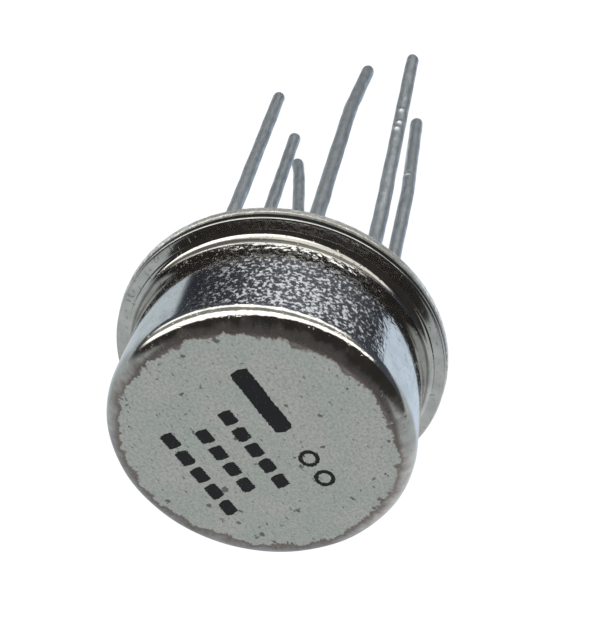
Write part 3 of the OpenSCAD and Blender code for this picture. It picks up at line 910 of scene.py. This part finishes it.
    patches = addNode(tree, "ShaderNodeTexNoise", {
        "Vector": coords, "Scale": 1 / (c["patch"] * mm), "Detail": 3.0,
    }).outputs[0]
    stops = ((0.35, c["plateTones"][0]), (0.7, c["plateTones"][1]))
    color = addNode(tree, "ShaderNodeValToRGB", {0: patches}, stops).outputs[0]
    white = addNode(tree, "ShaderNodeMath", {
        0: flecks, 1: c["fleckShare"],
    }, operation="MULTIPLY").outputs[0]
    dullAndShade = addNode(tree, "ShaderNodeMath", {0: dullAndShade, 1: c["footShadeShare"]}, operation="MULTIPLY").outputs[0]
    # the painted foot shade and the painted seam shade are mixed into the colour here, with the flecks and
    # the worn band
    for share, tone in ((dullAndShade, "footShadeTone"), (white, "fleckTone"), (worn, "wornTone"), (seamShade, "seamShadeTone")):
        color = addNode(tree, "ShaderNodeMix", {
            0: share, 6: color, 7: linearColor(c[tone]),
        }, data_type="RGBA").outputs[2]
    color = addNode(tree, "ShaderNodeMix", {0: bare, 6: skin, 7: color}, data_type="RGBA").outputs[2]
    # rougher where it is scuffed or worn, and on the painted seam shade
    rough = addNode(tree, "ShaderNodeMapRange", {
        "Value": bare, "To Min": c["skinRough"], "To Max": c["plateRough"],
    }).outputs[0]
    for value, share in ((flecks, 0.35), (worn, 0.25), (seamShade, 0.45)):
        rough = addNode(tree, "ShaderNodeMath", {
            0: value, 1: share, 2: rough,
        }, operation="MULTIPLY_ADD").outputs[0]
    # less of a metal on the skin, on the flecks and a little where the bare plate is worn
    metallic = addNode(tree, "ShaderNodeMapRange", {
        "Value": bare, "To Min": c["skinMetallic"], "To Max": 1.0,
    }).outputs[0]
    thinned = addNode(tree, "ShaderNodeMath", {0: worn, 1: bare}, operation="MULTIPLY").outputs[0]
    for value, share in ((thinned, -0.12), (flecks, -0.8)):
        metallic = addNode(tree, "ShaderNodeMath", {
            0: value, 1: share, 2: metallic,
        }, operation="MULTIPLY_ADD", use_clamp=True).outputs[0]
    height = addNode(tree, "ShaderNodeMath", {
        0: grain, 1: c["grainDepth"],
    }, operation="MULTIPLY").outputs[0]
    for value, share in ((turned, c["turnDepth"]), (flawed, -c["flawDepth"])):
        height = addNode(tree, "ShaderNodeMath", {
            0: value, 1: share, 2: height,
        }, operation="MULTIPLY_ADD").outputs[0]
    normal = addNode(tree, "ShaderNodeBump", {
        "Height": height, "Strength": 1.0, "Distance": mm,
    }).outputs[0]
    shader = addNode(tree, "ShaderNodeBsdfPrincipled", {
        "Base Color": color, "Metallic": metallic, "Roughness": rough, "Normal": normal,
    })
    finishMaterial(tree, shader.outputs[0])
    return material


inkFinish = {
    "tone": "#100F11", "thinTone": "#3A3A3B", "rough": 0.55,
    "spot": 0.07, "relief": 0.004,     # mm, pitch of the thin spots and height between them
}


def inkMaterial(c):
    # black epoxy marking ink, stamped: slightly glossy, thin in spots where the matt metal shows
    material, tree = newMaterial("stampedInk")
    coords = addNode(tree, "ShaderNodeTexCoord").outputs["Object"]
    spots = addNode(tree, "ShaderNodeTexNoise", {
        "Vector": coords, "Scale": 1 / (c["spot"] * mm), "Detail": 2.0,
    }).outputs[0]
    thin = addNode(tree, "ShaderNodeMapRange", {
        "Value": spots, "From Min": 0.66, "From Max": 0.72,
    }).outputs[0]
    color = addNode(tree, "ShaderNodeMix", {
        0: thin, 6: linearColor(c["tone"]), 7: linearColor(c["thinTone"]),
    }, data_type="RGBA").outputs[2]
    height = addNode(tree, "ShaderNodeBump", {
        "Height": spots, "Strength": 0.6, "Distance": c["relief"] * mm,
    })
    shader = addNode(tree, "ShaderNodeBsdfPrincipled", {
        "Base Color": color, "Roughness": c["rough"], "Normal": height.outputs[0],
    })
    finishMaterial(tree, shader.outputs[0])
    return material


setMaterial(capPiece, capMaterial(capFinish))
setMaterial(inkPiece, inkMaterial(inkFinish))

# each finish has two tones, the roughness at each, its grain and relief in mm, and how metallic it is
# hot-dipped solder: dull blue grey, drawn out along the lead
solderCoat = surface("dippedSolder", ("#A7ACB0", "#CACED1"), (0.56, 0.42), 0.2, 0.008, 1.0, stretch=2.5)
# stamped and nickel-plated steel of the header: bright, with the coarse pits of the strip
headerPlate = surface("stampedHeaderPlate", ("#BDB9B0", "#F4F2EC"), (0.4, 0.2), 0.15, 0.016, 0.75)
# fused sealing glass: dark blue green, glossy, hardly lets light through
sealingGlass = surface(
    "fusedSealingGlass", ("#1B2A2C", "#2C4143"), (0.06, 0.14), 0.4, 0.004,
    fixed={"IOR": 1.52, "Transmission Weight": 0.3},
)
# soft gold, drawn into wire: warm and smooth
goldWire = surface("drawnGold", ("#D9A648", "#F0C877"), (0.16, 0.26), 0.02, 0.0004, 1.0)
# polished silicon under its oxide: dark, blue violet, mirror smooth
silicon = surface("polishedSilicon", ("#2F3350", "#474A66"), (0.05, 0.12), 0.12, 0.0002, 0.7)
# evaporated aluminium: white and slightly grainy
padMetal = surface("evaporatedAluminium", ("#D5D7D8", "#F0F1F1"), (0.18, 0.32), 0.01, 0.0006, 1.0)
# sintered alumina: matt white with a fine grain
ceramic = surface("sinteredAlumina", ("#E4E1D8", "#F2F0EA"), (0.6, 0.75), 0.03, 0.0015)
# reflowed solder: bright and soft in its outline
solderJoint = surface("reflowedSolder", ("#B4B6BA", "#D2D4D7"), (0.16, 0.3), 0.1, 0.003, 1.0)
# silver-filled epoxy: light grey, dull, with flakes
silverAdhesive = surface("silverEpoxy", ("#9FA0A2", "#D0D1D2"), (0.35, 0.6), 0.015, 0.002, 0.6)
# gallium arsenide crystal: dark grey with a metallic shine
emitterCrystal = surface("cleavedGalliumArsenide", ("#4A4A4E", "#66666B"), (0.08, 0.18), 0.05, 0.0006, 0.8)
# clear silicone gel between the dies: passes the light straight through
clearSilicone = surface(
    "clearSilicone", ("#F2F4F4", "#FFFFFF"), (0.02, 0.06), 0.2, 0.001,
    fixed={"IOR": 1.41, "Transmission Weight": 1.0},
)
finishOf = {
    "header": headerPlate, "glass_seal": sealingGlass,
    "detector_attach": silverAdhesive, "detector_die": silicon, "detector_metal": padMetal,
    "emitter_carrier": ceramic, "anode_track": goldWire, "cathode_track": goldWire,
    "carrier_solder": solderJoint,
    "emitter_attach": silverAdhesive, "emitter_die": emitterCrystal, "light_coupling": clearSilicone,
    "wire_collector": goldWire, "wire_base": goldWire, "wire_emitter": goldWire, "wire_anode": goldWire,
}
# where the coat is scraped, its fresh solder shines
tree = solderCoat.node_tree
shader = next(node for node in tree.nodes if node.type == "BSDF_PRINCIPLED")
fresh = addNode(tree, "ShaderNodeAttribute", attribute_name="scraped").outputs["Fac"]
dullAndShade = {name: shader.inputs[name].links[0].from_socket for name in ("Base Color", "Roughness")}
bright = addNode(tree, "ShaderNodeMix", {
    0: fresh, 6: dullAndShade["Base Color"], 7: linearColor("#FAFBFC"),
}, data_type="RGBA").outputs[2]
smooth = addNode(tree, "ShaderNodeMix", {0: fresh, 2: dullAndShade["Roughness"], 3: 0.25}).outputs[0]
tree.links.new(bright, shader.inputs["Base Color"])
tree.links.new(smooth, shader.inputs["Roughness"])
for piece in leadPieces:
    setMaterial(piece, solderCoat)
for name in nodes:
    if name == "cap":
        setMaterial(nodes[name], headerPlate)
    elif name.startswith("lead_"):
        setMaterial(nodes[name], solderCoat)
    else:
        setMaterial(nodes[name], finishOf[name])
print("materials ready")

bpy.context.view_layer.update()
